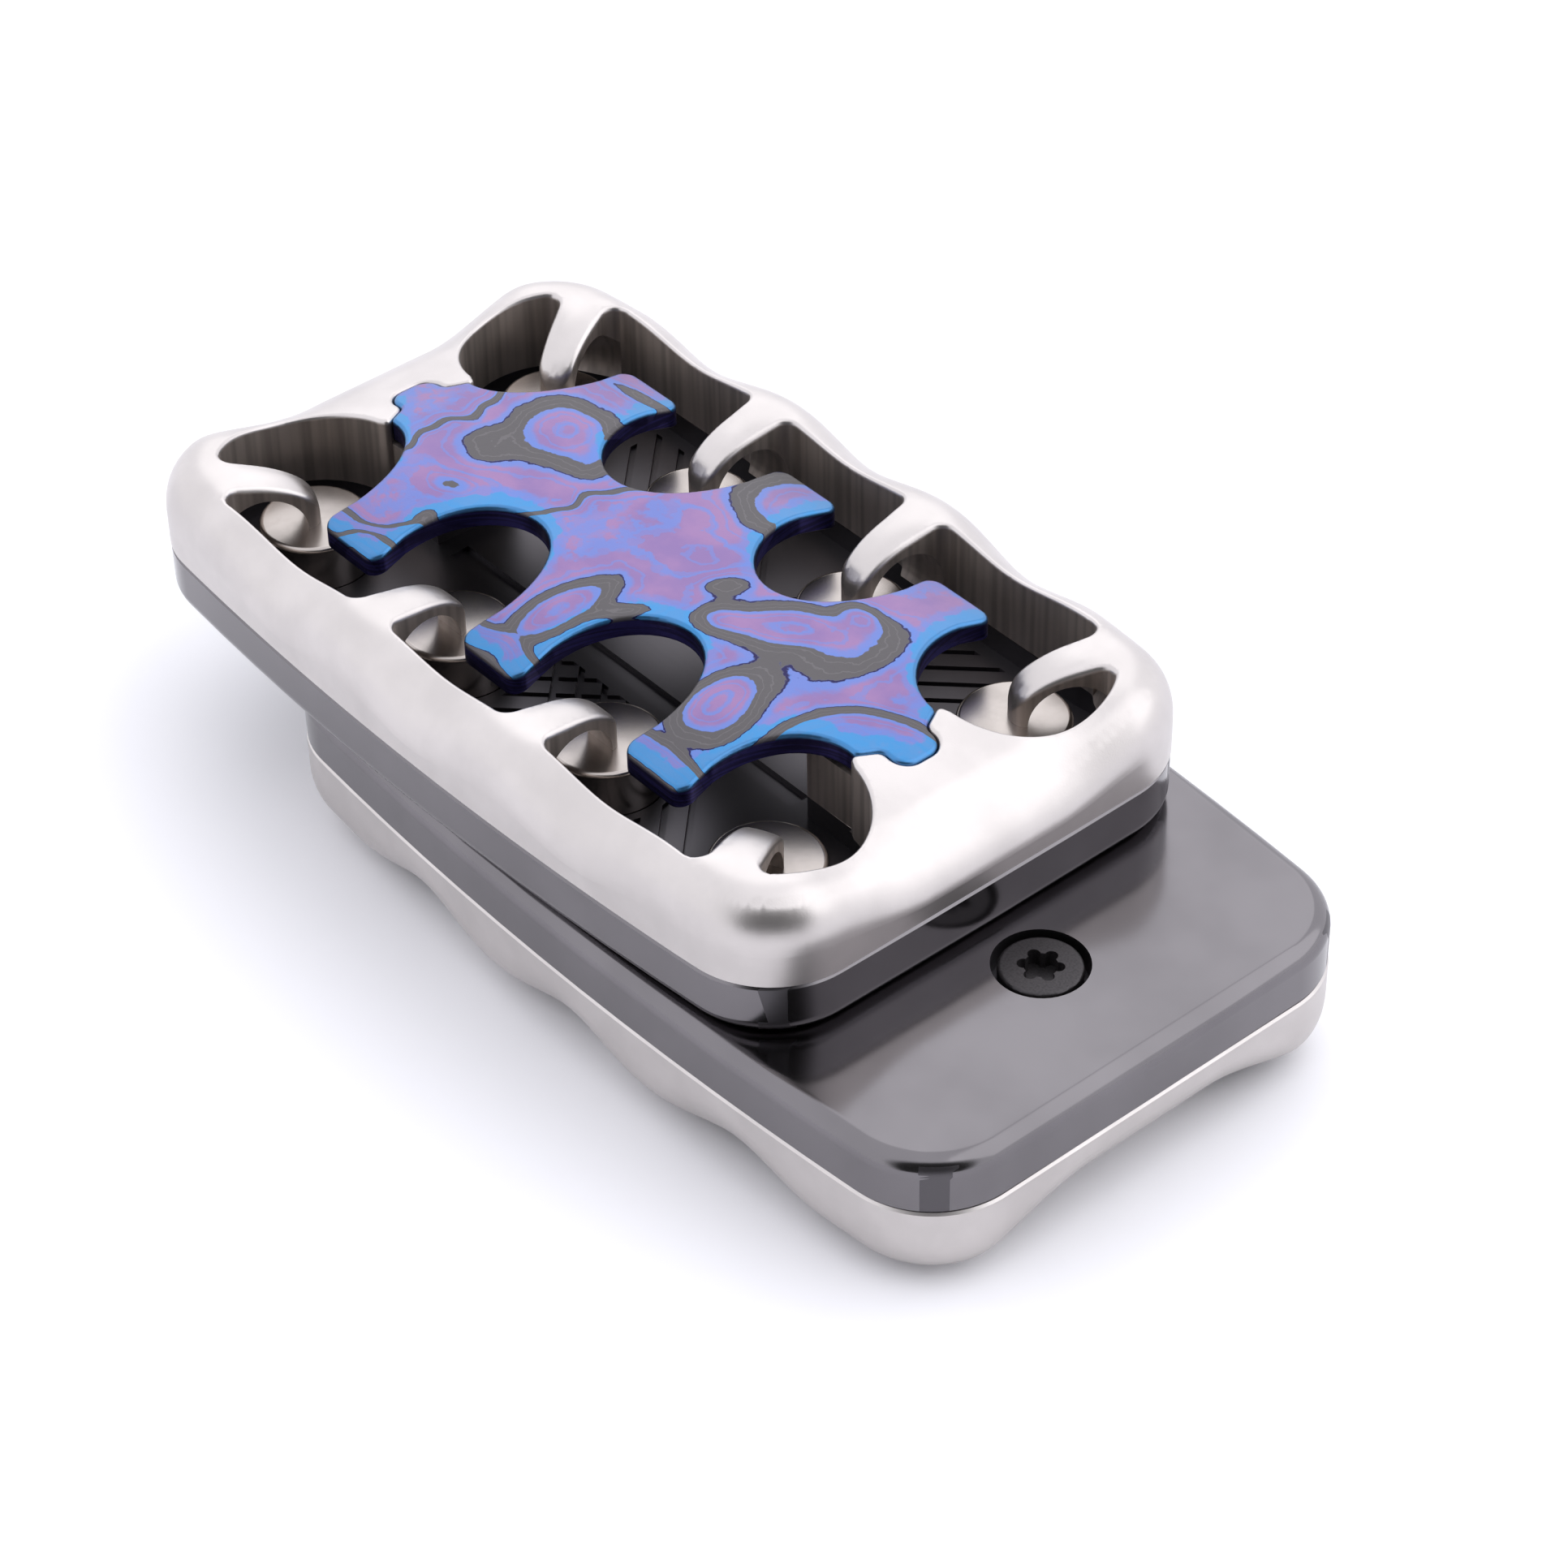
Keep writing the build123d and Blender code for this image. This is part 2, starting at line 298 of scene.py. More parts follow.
class Paint:
    """A material under construction."""

    def __init__(self, name: str) -> None:
        """Starts a material with nothing but its coordinates."""
        self.material = bpy.data.materials.new(name)
        self.material.use_nodes = True
        self.tree = self.material.node_tree
        self.tree.nodes.clear()
        self.place = self.node("ShaderNodeTexCoord", out="Object")

    def node(self, kind: str, settings: dict[str, Any] | None = None,
             inputs: dict[str | int, Any] | None = None, out: str | int = 0) -> Value:
        """Adds any node.

        Args:
            kind: the node's type.
            settings: its properties, set before its sockets.
            inputs: a number, colour or Value for each socket that isn't left as it is.
            out: which output is wanted.

        Returns:
            The wanted output.
        """
        node = self.tree.nodes.new(kind)
        for name, value in (settings or {}).items():
            setattr(node, name, value)
        for name, value in (inputs or {}).items():
            if isinstance(value, Value):
                self.tree.links.new(value.socket, node.inputs[name])
            else:
                node.inputs[name].default_value = value
        return Value(self, node.outputs[out])

    def math(self, operation: str, *values: Any) -> Value:
        """Adds a Math node."""
        return self.node("ShaderNodeMath", {"operation": operation}, dict(enumerate(values)))

    def mix(self, factor: Any, first: Any, second: Any) -> Value:
        """Mixes two colours: the first at factor 0, the second at 1."""
        return self.node("ShaderNodeMix", {"data_type": "RGBA"}, {0: factor, 6: first, 7: second}, 2)

    def fading(self, factor: Any, colour: Colour, share: float) -> Value:
        """A colour that turns into a share of itself where the factor is 1."""
        return self.mix(factor, colour, tuple(share * part for part in colour[:3]) + (1,))

    def noise(self, size_mm: float, detail: float = 2.0, stretch: Sequence[float] = (1, 1, 1),
              shift: float = 0.0) -> Value:
        """Noise around 0.5 whose lumps are about size_mm across.

        Args:
            size_mm: size of a lump.
            detail: how many finer layers it has.
            stretch: how much longer a lump is along each axis.
            shift: moves the pattern, so that two of them differ.
        """
        scale = [1 / (size_mm * MM * s) for s in stretch]
        spot = self.node("ShaderNodeMapping", None, {"Vector": self.place, "Scale": scale,
                                                     "Location": (shift, shift, shift)})
        return self.node("ShaderNodeTexNoise", None, {"Vector": spot, "Scale": 1.0, "Detail": detail})

    def measure(self, name: str) -> Value:
        """A number that the mesh carries at each vertex or on each face."""
        return self.node("ShaderNodeAttribute", {"attribute_name": name}, out="Fac")

    def relief(self, height: Value, depth_mm: float, strength: float = 1.0) -> Value:
        """Bump from a height between 0 and 1."""
        return self.node("ShaderNodeBump", None,
                         {"Height": height, "Distance": depth_mm * MM, "Strength": strength})

    def done(self, **sockets: Any) -> bpy.types.Material:
        """Adds the shader and the output.

        Args:
            sockets: values of the shader's sockets, with _ for a space in their names.

        Returns:
            The finished material.
        """
        named = {name.replace("_", " "): value for name, value in sockets.items()}
        shader = self.node("ShaderNodeBsdfPrincipled", None, named)
        end = self.tree.nodes.new("ShaderNodeOutputMaterial")
        self.tree.links.new(shader.socket, end.inputs["Surface"])
        return self.material

@dataclass(frozen=True)
class SatinTitanium:
    """Fine-blasted titanium, smoother and browner on the milled walls of the windows."""

    face: Colour = (0.58, 0.55, 0.537, 1)
    wall: Colour = (0.55, 0.49, 0.45, 1)
    face_shade: float = 0.91
    wall_shade: float = 0.72
    roughness: float = 0.3
    wall_roughness: float = 0.14
    relief_mm: float = 0.012

    def material(self) -> bpy.types.Material:
        """Builds the material."""
        paint = Paint("satin_titanium")
        milled = paint.measure("inside")
        grain = paint.noise(0.09, 3)
        cloud = paint.noise(3.4, 4, shift=4)
        chatter = paint.noise(0.45, 1, stretch=(1, 1, 40), shift=9)
        tone = paint.fading(cloud.ramp(0.3, 0.7), self.face, self.face_shade)
        wall = paint.fading(chatter.ramp(0.35, 0.7), self.wall, self.wall_shade)
        rough = self.roughness + 0.06 * grain + 0.05 * cloud + milled * self.wall_roughness
        height = grain * (1 - milled) * 0.5 + chatter * milled
        return paint.done(Base_Color=paint.mix(milled, tone, wall), Metallic=1.0, Roughness=rough,
                          Normal=paint.relief(height, self.relief_mm, 0.6))


@dataclass(frozen=True)
class PolishedPlate:
    """Dark oxidised metal with a fine polish."""

    tone: Colour = (0.182, 0.173, 0.182, 1)
    inner: Colour = (0.1, 0.095, 0.102, 1)
    shade: float = 0.86
    roughness: float = 0.1
    inner_roughness: float = 0.22
    relief_mm: float = 0.0012

    def material(self) -> bpy.types.Material:
        """Builds the material."""
        paint = Paint("polished_plate")
        cloud = paint.noise(7.0, 3)
        lines = paint.noise(0.12, 2, stretch=(60, 1, 1), shift=3)
        tone = paint.fading(cloud.ramp(0.3, 0.75), self.tone, self.shade)
        inner = paint.measure("inside")
        tone = paint.mix(inner, tone, self.inner)
        rough = self.roughness + 0.06 * cloud + 0.05 * lines + inner * self.inner_roughness
        return paint.done(Base_Color=tone, Metallic=1.0, Roughness=rough,
                          Normal=paint.relief(lines, self.relief_mm, 0.25))


@dataclass(frozen=True)
class NickelPlate:
    """Bright, slightly warm nickel plating."""

    tone: Colour = (0.42, 0.385, 0.36, 1)
    shade: float = 0.88
    roughness: float = 0.2
    relief_mm: float = 0.002

    def material(self) -> bpy.types.Material:
        """Builds the material."""
        paint = Paint("nickel_plate")
        cloud = paint.noise(1.8, 3)
        grain = paint.noise(0.06, 2, shift=5)
        tone = paint.fading(cloud.ramp(0.35, 0.7), self.tone, self.shade)
        return paint.done(Base_Color=tone, Metallic=1.0, Roughness=self.roughness + 0.09 * cloud,
                          Normal=paint.relief(grain, self.relief_mm, 0.5))


@dataclass(frozen=True)
class BlackScrew:
    """Black oxidised steel."""

    tone: Colour = (0.056, 0.052, 0.055, 1)
    shade: float = 0.7
    metallic: float = 0.75
    roughness: float = 0.34
    relief_mm: float = 0.006

    def material(self) -> bpy.types.Material:
        """Builds the material."""
        paint = Paint("black_screw")
        grain = paint.noise(0.12, 3)
        tone = paint.fading(grain.ramp(0.35, 0.75), self.tone, self.shade)
        return paint.done(Base_Color=tone, Metallic=self.metallic, Roughness=self.roughness + 0.1 * grain,
                          Normal=paint.relief(grain, self.relief_mm, 0.5))


@dataclass(frozen=True)
class LayeredInlay:
    """Layered metal, etched and anodised: violet and blue contour lines with bare grey layers, and a painted
    blue and cyan sheen along the edges that face the camera.
    """

    violet: Colour = (0.19, 0.125, 0.28, 1)
    lilac: Colour = (0.24, 0.145, 0.29, 1)
    blue: Colour = (0.1, 0.175, 0.45, 1)
    cyan: Colour = (0.02, 0.23, 0.45, 1)
    bare: Colour = (0.1, 0.095, 0.1, 1)
    indigo: Colour = (0.018, 0.015, 0.065, 1)
    seam: Colour = (0.05, 0.045, 0.22, 1)
    vein_share: float = 1.45
    metallic: float = 0.88
    roughness: float = 0.27
    relief_mm: float = 0.02

    def material(self) -> bpy.types.Material:
        """Builds the material."""
        paint = Paint("layered_inlay")
        ragged = (paint.noise(0.3, 2) - 0.5) * 0.05 + (paint.noise(1.6, 2, shift=2) - 0.5) * 0.16
        layer = paint.measure("layer") + ragged
        # The "edge" number, with noise, places the painted sheen along the edges that face the camera.
        edge = paint.measure("edge") + (paint.noise(0.9, 4, shift=7) - 0.5) * 1.5
        side = paint.measure("inside")
        phase = layer.fraction()
        grey = phase.band(0.5, 0.14, 0.012)
        halo = phase.band(0.5, 0.21, 0.07)
        outline = phase.band(0.345, 0.006, 0.012)
        wide = layer.contours(1.0, 0.07 * paint.noise(0.8, 3, shift=12), 0.02, 0.035, 0.02)
        fine = layer.contours(6.0, paint.noise(1.3, 3, shift=15), 0.5, 0.07, 0.06)
        vein = layer.contours(9.0, paint.noise(0.9, 3, shift=19), 0.5, 0.05, 0.04)
        tone = paint.mix(paint.noise(3.5, 4, shift=6).ramp(0.38, 0.62), self.violet, self.lilac)
        # The edge ramps here and two lines on are painted sheen: blue, and cyan nearer the edge, on the
        # edges that face the camera, where light catches them. The other blue shares are the layers' own
        # lines.
        for share in (wide * 0.45, halo * 0.8, fine * 0.5, edge.ramp(1.1, 0.7) * 0.55):
            tone = paint.mix(share, tone, self.blue)
        tone = paint.mix(edge.ramp(0.45, 0.25) * 0.65, tone, self.cyan)
        tone = paint.mix(outline, tone, self.indigo)
        metal = paint.fading(vein * 0.6, self.bare, self.vein_share)
        tone = paint.mix(grey, tone, metal)
        seams = paint.noise(0.16, 2, stretch=(30, 30, 1), shift=8).ramp(0.42, 0.6)
        wall = paint.mix(seams * 0.55, self.indigo, self.seam)
        tone = paint.mix(side, tone, wall)
        rough = self.roughness + 0.17 * grey + 0.06 * paint.noise(0.2, 3, shift=1)
        height = (1 - grey) * 0.6 + paint.noise(0.12, 3, shift=4) * 0.4
        return paint.done(Base_Color=tone, Metallic=self.metallic, Roughness=rough,
                          Normal=paint.relief(height, self.relief_mm, 0.45))


# ---- sculpted outlines
def rounded(corners: Sequence[Triple], step: float) -> Array:
    """A closed line round a polygon whose corners are rounded.

    Args:
        corners: x, y and radius of each corner.
        step: largest distance between two points of the line.

    Returns:
        The points, one a row, in the order of the corners.
    """
    line: list[Array] = []
    count = len(corners)
    for i in range(count):
        x, y, radius = corners[i]
        here = np.array((x, y))
        back = np.array(corners[i - 1][:2]) - here
        ahead = np.array(corners[(i + 1) % count][:2]) - here
        back /= np.linalg.norm(back)
        ahead /= np.linalg.norm(ahead)
        turn = math.pi - math.acos(float(np.clip(back @ ahead, -1, 1)))
        if radius <= 0 or turn < 1e-4:
            line.append(here)
            continue
        reach = radius * math.tan(turn / 2)
        start = here + back * reach
        finish = here + ahead * reach
        middle = here + (back + ahead) / np.linalg.norm(back + ahead) * radius / math.cos(turn / 2)
        spoke = (here - middle) / np.linalg.norm(here - middle)
        across = np.array((-spoke[1], spoke[0]))
        swing = 1 if np.cross(start - middle, finish - middle) > 0 else -1
        pieces = max(3, math.ceil(turn * radius / step))
        for k in range(pieces + 1):
            angle = (k / pieces - 0.5) * turn * swing
            line.append(middle + radius * (math.cos(angle) * spoke + math.sin(angle) * across))
    return spaced(np.array(line), step)


def spaced(line: Array, step: float) -> Array:
    """Adds points on the long stretches of a closed line, and drops those that nearly coincide."""
    least, spare = 0.12, 0.2
    gaps = np.linalg.norm(np.roll(line, -1, 0) - line, axis=1)
    line = line[gaps > step * least]
    out = []
    for a, b in zip(line, np.roll(line, -1, 0)):
        pieces = max(1, math.ceil(np.linalg.norm(b - a) / step - spare))
        out += [a + (b - a) * k / pieces for k in range(pieces)]
    return np.array(out)


def four_quarters(quarter: Sequence[Triple]) -> list[Triple]:
    """Mirrors the corners of one quarter, given from the +Y side round to +X, to go all the way round."""
    right = list(quarter) + [(x, -y, r) for x, y, r in reversed(quarter)]
    return right + [(-x, y, r) for x, y, r in reversed(right)]


def normals(line: Array) -> Array:
    """Unit vectors to the left of a closed line."""
    ahead = np.roll(line, -1, 0) - np.roll(line, 1, 0)
    left = np.stack((-ahead[:, 1], ahead[:, 0]), 1)
    return left / np.linalg.norm(left, axis=1, keepdims=True)


def distance(points: Array, line: Array) -> Array:
    """Distance of each point from a closed line."""
    run = np.roll(line, -1, 0) - line
    square = (run ** 2).sum(1)
    nearest = np.empty(len(points))
    batch = 2000
    for begin in range(0, len(points), batch):
        away = points[begin:begin + batch, None, :] - line[None]
        share = np.clip((away * run[None]).sum(2) / square, 0, 1)
        gap = away - share[..., None] * run[None]
        nearest[begin:begin + batch] = np.sqrt((gap ** 2).sum(2)).min(1)
    return nearest


def inside(points: Array, line: Array) -> Array:
    """Whether each point lies within a closed line."""
    x, y = points[:, :1], points[:, 1:]
    x0, y0 = line[:, 0][None], line[:, 1][None]
    x1, y1 = np.roll(line[:, 0], -1)[None], np.roll(line[:, 1], -1)[None]
    crosses = ((y0 > y) != (y1 > y)) & (x < (x1 - x0) * (y - y0) / np.where(y1 == y0, 1e-9, y1 - y0) + x0)
    return crosses.sum(1) % 2 == 1


@dataclass
class Rim:
    """One closed edge of a slab.

    Args:
        line: its points, with the material on the left.
        steps: distances from the edge of the rows of vertices that follow it, 0 first.
        radius: rounding between the top and the side.
        chamfer: bevel between the side and the bottom.
    """

    line: Array
    steps: Sequence[float]
    radius: float
    chamfer: float

    def row(self, away: float) -> Array:
        """The line moved into the material."""
        return self.line + normals(self.line) * away


@dataclass
class Slab:
    """A plate with a free shape in plan and a height that is worked out for each place in it.

    The wavy crown, the claws and the rounded edges flow into one another, so the top is one surface
    of rows along the edges and a mesh of triangles between them.

    Args:
        rims: its edges, the outer one first.
        top: height of the top from x, y and the distance from the outer edge.
        bottom: height of the bottom, in the same way.
        spacing: distance between vertices away from the edges.
        lip: how far the side starts below the outermost row of the top.
        least_side: least height of the side above its chamfer.
    """

    rims: list[Rim]
    top: Field
    bottom: Field
    spacing: float = 0.27
    lip: float = 0.06
    least_side: float = 0.01
    points: list[Array] = field(default_factory=list)
    heights: list[Array] = field(default_factory=list)
    faces: list[tuple[int, ...]] = field(default_factory=list)
    count: int = 0

    def add(self, plan: Array, height: Array) -> Array:
        """Adds vertices and returns their numbers."""
        self.points.append(plan)
        self.heights.append(height)
        first = self.count
        self.count += len(plan)
        return np.arange(first, self.count)

    def level(self, surface: Field, plan: Array) -> Array:
        """Height of a surface over the given places."""
        return surface(plan[:, 0], plan[:, 1], distance(plan, self.rims[0].line))

    def lay(self, surface: Field, plan: Array) -> Array:
        """Adds vertices on a surface over the given places and returns their numbers."""
        return self.add(plan, self.level(surface, plan))

    def strip(self, low: Array, high: Array) -> None:
        """Faces between two rows of vertices that run the same way, seen from the material's outside."""
        after_low, after_high = np.roll(low, -1), np.roll(high, -1)
        self.faces += [tuple(map(int, quad)) for quad in zip(low, after_low, after_high, high)]

    def inner_points(self) -> Array:
        """A staggered grid of places that keep clear of the edges."""
        outer = self.rims[0].line
        low, high = outer.min(0), outer.max(0)
        row_gap, edge_gap = 0.87 * self.spacing, 0.55 * self.spacing
        grid = []
        for i, y in enumerate(np.arange(low[1], high[1], row_gap)):
            xs = np.arange(low[0] + (i % 2) * self.spacing / 2, high[0], self.spacing)
            grid.append(np.stack((xs, np.full(len(xs), y)), 1))
        spots = np.concatenate(grid)
        keep = inside(spots, outer)
        for rim in self.rims[1:]:
            keep &= ~inside(spots, rim.line)
        spots = spots[keep]
        for rim in self.rims:
            spots = spots[distance(spots, rim.line) > rim.steps[-1] + edge_gap]
        return spots

    def cap(self, rows: list[Array], plan: Array, spots: Array) -> list[tuple[int, ...]]:
        """Triangles over the space between the innermost rows.

        Args:
            rows: places of each rim's innermost row.
            plan: all of those places, one after another.
            spots: places between them.

        Returns:
            Triangles whose numbers count the rows' places first, then the spots.
        """
        edges, first = [], 0
        for row in rows:
            edges += [(first + i, first + (i + 1) % len(row)) for i in range(len(row))]
            first += len(row)
        everything = np.concatenate((plan, spots))
        within_edges, nearness = 1, 1e-7
        _, _, faces, origin, _, _ = delaunay_2d_cdt([Vector(p) for p in everything], edges, [],
                                                    within_edges, nearness)
        triangles = np.array([[origin[i][0] for i in face] for face in faces])
        middles = everything[triangles].mean(1)
        keep = inside(middles, rows[0])
        for row in rows[1:]:
            keep &= ~inside(middles, row)
        return [tuple(map(int, triangle)) for triangle in triangles[keep]]

    def build(self, name: str) -> Piece:
        """Makes the closed mesh."""
        last_rows, top_ids, bottom_ids = [], [], []
        for rim in self.rims:
            still = [max(rim.radius - away, 0) for away in rim.steps]
            rises = [math.sqrt(max(rim.radius ** 2 - rest ** 2, 0)) for rest in still]
            previous = None
            for away, rise in zip(rim.steps, rises):
                plan = rim.row(away)
                row = self.add(plan, self.level(self.top, plan) - rim.radius + rise)
                if previous is None:
                    edge_row = row
                    edge_height = self.heights[-1]
                else:
                    self.strip(previous, row)
                previous = row
            top_ids.append(previous)
            last_rows.append(rim.row(rim.steps[-1]))
            low = self.level(self.bottom, rim.line)
            wall_top = self.add(rim.line, np.maximum(edge_height - self.lip,
                                                      low + rim.chamfer + self.least_side))
            wall_low = self.add(rim.line, low + rim.chamfer)
            self.strip(wall_top, edge_row)
            self.strip(wall_low, wall_top)
            foot = rim.row(rim.chamfer)
            foot_row = self.lay(self.bottom, foot)
            self.strip(foot_row, wall_low)
            under = self.lay(self.bottom, last_rows[-1])
            self.strip(under, foot_row)
            bottom_ids.append(under)
        spots = self.inner_points()
        plan = np.concatenate(last_rows)
        triangles = self.cap(last_rows, plan, spots)
        above = np.concatenate(top_ids + [self.lay(self.top, spots)])
        below = np.concatenate(bottom_ids + [self.lay(self.bottom, spots)])
        self.faces += [tuple(int(above[i]) for i in t) for t in triangles]
        self.faces += [tuple(int(below[i]) for i in reversed(t)) for t in triangles]
        flat = np.concatenate(self.points)
        points = np.column_stack((flat, np.concatenate(self.heights)))
        mesh = bpy.data.meshes.new(name)
        mesh.from_pydata(points.tolist(), [], self.faces)
        mesh.validate()
        piece = linked(name, mesh)
        with editing(piece):
            bpy.ops.mesh.normals_make_consistent(inside=False)
        return piece


def carry(piece: Piece, name: str, values: Array, domain: str = "POINT") -> None:
    """Stores a number at each vertex of a piece, or on each of its faces."""
    attribute = piece.data.attributes.new(name, "FLOAT", domain)
    attribute.data.foreach_set("value", values.astype(np.float32))


def vertices(piece: Piece) -> Array:
    """The places of a piece's vertices."""
    flat = np.zeros(len(piece.data.vertices) * 3, np.float32)
    piece.data.vertices.foreach_get("co", flat)
    return flat.reshape(-1, 3).astype(float)


def passage(x: Array, low: float, high: float) -> Array:
    """0 below low and 1 above high, with a smooth passage between them."""
    t = np.clip((x - low) / (high - low), 0, 1)
    return t * t * (3 - 2 * t)


def crown(x: Array, y: Array, side_fall: float) -> Array:
    """Height of a half's crown, which falls off to both ends and, by side_fall, to both sides."""
    along = np.maximum(np.abs(x) - CROWN_END, 0) ** 2 / CROWN_FALL
    across = np.maximum(np.abs(y) - CROWN_FLAT, 0) ** 2 / side_fall
    return HALF_T - along - across


# ---- pieces
@dataclass
class Shell:
    """The openwork shell of one half: rails, ends, eight claws and the seats under the inlay's ends.

    Reach, foot and power of the outer rounding are a value and what a scoop and an end add to it.
    """

    half_length: float = 26.05
    half_width: float = 16.0
    side_bow: float = 1.45
    bow_share: float = 0.79
    corner_radius: float = 5.2
    corner_dip: float = 0.02
    rail_inside: float = 13.4
    claw_root: float = 1.4
    claw_tip: float = 0.95
    claw_lean: Pair = (0.47, 0.883)
    claw_reach: float = 5.2
    claw_overrun: float = 0.3
    claw_zone: float = 2.1
    claw_crown: float = 0.22
    arch_power: float = 2.2
    nose_height: float = 5.25
    root_rounding: float = 0.75
    tip_rounding: float = 0.85
    window_radius: float = 5.05
    window_sweep: Pair = (33.0, -82.0)
    notch: tuple[Triple, ...] = ((18.66, 2.9, 0.3), (19.4, 1.45, 0.6), (20.95, 1.45, 1.05))
    tunnel_away: float = 2.72
    tunnel_radius: float = 2.3
    tunnel_length: float = 4.0
    high_crest: float = 8.05
    low_crest: float = 7.6
    side_fall: float = 120.0
    reach: Triple = (2.5, 0.6, 0.9)
    foot: Triple = (5.2, -0.9, -1.0)
    power: Triple = (2.2, -0.5, -0.35)
    outer_steps: tuple[float, ...] = (0, 0.012, 0.05, 0.11, 0.2, 0.31, 0.44, 0.6, 0.78, 0.98)
    inner_steps: tuple[float, ...] = (0, 0.02, 0.07, 0.15, 0.26)
    outer_chamfer: float = 0.12
    inner_chamfer: float = 0.05
    seat_half: float = 2.7
    seat_x: float = 15.2
    seat_end: float = 21.6
    seat_gap: float = 0.62
    seat_bevel: float = 0.15
    inlay_depth: float = 1.3
    magnet_gap: float = 0.25
    bore_radius: float = 1.3
    bore_top: float = 6.65

    @property
    def claws(self) -> tuple[Triple, ...]:
        """X of a middle and of a corner magnet, each with the direction in which its claw leaves it."""
        return (MAGNET_XS[2], 0.0, 1.0), (MAGNET_XS[3], *self.claw_lean)

    def outline(self) -> Array:
        """The outer edge in plan, against the clock."""
        end = self.half_length
        side = self.half_width - self.side_bow
        bowed = np.linspace(-self.bow_share, self.bow_share, 41)
        top = [(end * s, side + self.side_bow * (1 - s * s), 0.0) for s in bowed]
        corner = side - self.corner_dip
        line = [(-end, corner, self.corner_radius), *top, (end, corner, self.corner_radius)]
        closed = line + [(-x, -y, r) for x, y, r in line]
        return rounded(closed[::-1], 0.22)

    def claw_corner(self, along: float, across: float, radius: float) -> Triple:
        """A corner of the corner claw, from its distance along the claw and across it."""
        ax, ay = self.claw_lean
        return (MAGNET_XS[3] + ax * along + ay * across, MAGNET_ROW + ay * along - ax * across, radius)

    def opening(self) -> Array:
        """The inner edge in plan, with the clock: windows, claws and the notches for the inlay's ends."""
        x = MAGNET_XS[2]
        tip_y = MAGNET_ROW - self.claw_overrun
        root, tip = self.root_rounding, self.tip_rounding
        arc = self.window_radius
        sweep = np.radians(np.linspace(*self.window_sweep, 36))
        ax, ay = self.claw_lean
        left_root = (self.rail_inside - MAGNET_ROW - ax * self.claw_root) / ay
        quarter = [
            (x - self.claw_root, self.rail_inside, root), (x - self.claw_tip, tip_y, tip),
            (x + self.claw_tip, tip_y, tip), (x + self.claw_root, self.rail_inside, root),
            self.claw_corner(left_root, -self.claw_root, root),
            self.claw_corner(-self.claw_overrun, -self.claw_tip, tip),
            self.claw_corner(-self.claw_overrun, self.claw_tip, tip),
            self.claw_corner(self.claw_reach - 0.25, self.claw_root, 0.7),
            *((MAGNET_XS[3] + arc * math.cos(t), MAGNET_ROW + arc * math.sin(t), 0.0) for t in sweep),
            *self.notch,
        ]
        return rounded(four_quarters(quarter), 0.16)

    def crest(self, x: Array, y: Array, edge: Array) -> Array:
        """Height of the rails and ends: bumps at the claws, scoops between them and at both ends."""
        past_claw = np.minimum(np.abs(x), MAGNET_XS[3]) - MAGNET_XS[2]
        bump = 0.5 + 0.5 * np.cos(2 * np.pi * past_claw / MAGNET_PITCH)
        scoop = (1 - bump) * passage(np.abs(y), 9.0, 12.0)
        hollow = 1 - passage(np.abs(y), 4.0, 11.5)
        hollow = hollow * passage(np.abs(x), 17.0, 19.0)
        summit = self.high_crest - (self.high_crest - self.low_crest) * scoop
        summit = summit * (1 - hollow) + crown(x, y, self.side_fall) * hollow
        reach, foot, power = (plain + in_scoop * scoop + at_end * hollow
                              for plain, in_scoop, at_end in (self.reach, self.foot, self.power))
        rest = np.clip(1 - edge / reach, 0, 1)
        rise = np.maximum(1 - rest ** power, 0) ** (1 / power)
        return foot + (summit - foot) * rise

    def claw_drop(self, x: Array, y: Array) -> Array:
        """How far the claws arch down, from the rail to the magnet's middle."""
        drop = np.zeros(len(x))
        px, py = np.abs(x), np.abs(y)
        for mx, ax, ay in self.claws:
            along = (px - mx) * ax + (py - MAGNET_ROW) * ay
            across = np.abs((px - mx) * ay - (py - MAGNET_ROW) * ax)
            near = np.hypot(px - mx, py - MAGNET_ROW)
            on_claw = (across < self.claw_zone) & (near < self.claw_reach + 0.1) & (along > -1)
            short = np.clip(1 - (along + self.claw_overrun) / (self.claw_reach + self.claw_overrun), 0, 1)
            fall = 1 - np.sqrt(np.maximum(1 - short ** self.arch_power, 0))
            arch = (self.high_crest - self.nose_height) * fall
            round_top = self.claw_crown * (across / self.claw_root) ** 2 * passage(short, 0.02, 0.4)
            drop = np.where(on_claw, arch + round_top, drop)
        return drop

    def top(self, x: Array, y: Array, edge: Array) -> Array:
        """Height of the top of the shell."""
        return self.crest(x, y, edge) - self.claw_drop(x, y)

    def build(self) -> Piece:
        """Sculpts the shell, adds the seats, and cuts it clear of the magnets and the screws."""
        outer = Rim(self.outline(), self.outer_steps, 0.0, self.outer_chamfer)
        inner = Rim(self.opening(), self.inner_steps, self.inner_steps[-1], self.inner_chamfer)
        slab = Slab([outer, inner], self.top, lambda x, y, edge: np.full(len(x), PLATE_T))
        piece = slab.build("shell")
        log.info("shell: %d faces before the cuts", len(piece.data.polygons))
        cut(piece, joined(self.seats()), "UNION")
        cut(piece, joined(self.bores()))
        cut(piece, joined(self.tunnels()))
        clean(piece, SLIVER)
        self.measure(piece, outer.line)
        shade(piece, 35)
        return piece

    def seats(self) -> list[Piece]:
        """Blocks under the two ends of the inlay."""
        top = HALF_T - self.inlay_depth - self.seat_gap
        blocks = []
        for end in (-1, 1):
            low, high = sorted((end * self.seat_x, end * self.seat_end))
            seat = block((low, -self.seat_half, PLATE_T), (high, self.seat_half, top))
            bevel_edges(seat, lambda a, b: min(a.z, b.z) > PLATE_T + 1 and abs(a.x - b.x) < SAME,
                        self.seat_bevel, 2)
            blocks.append(seat)
        return blocks

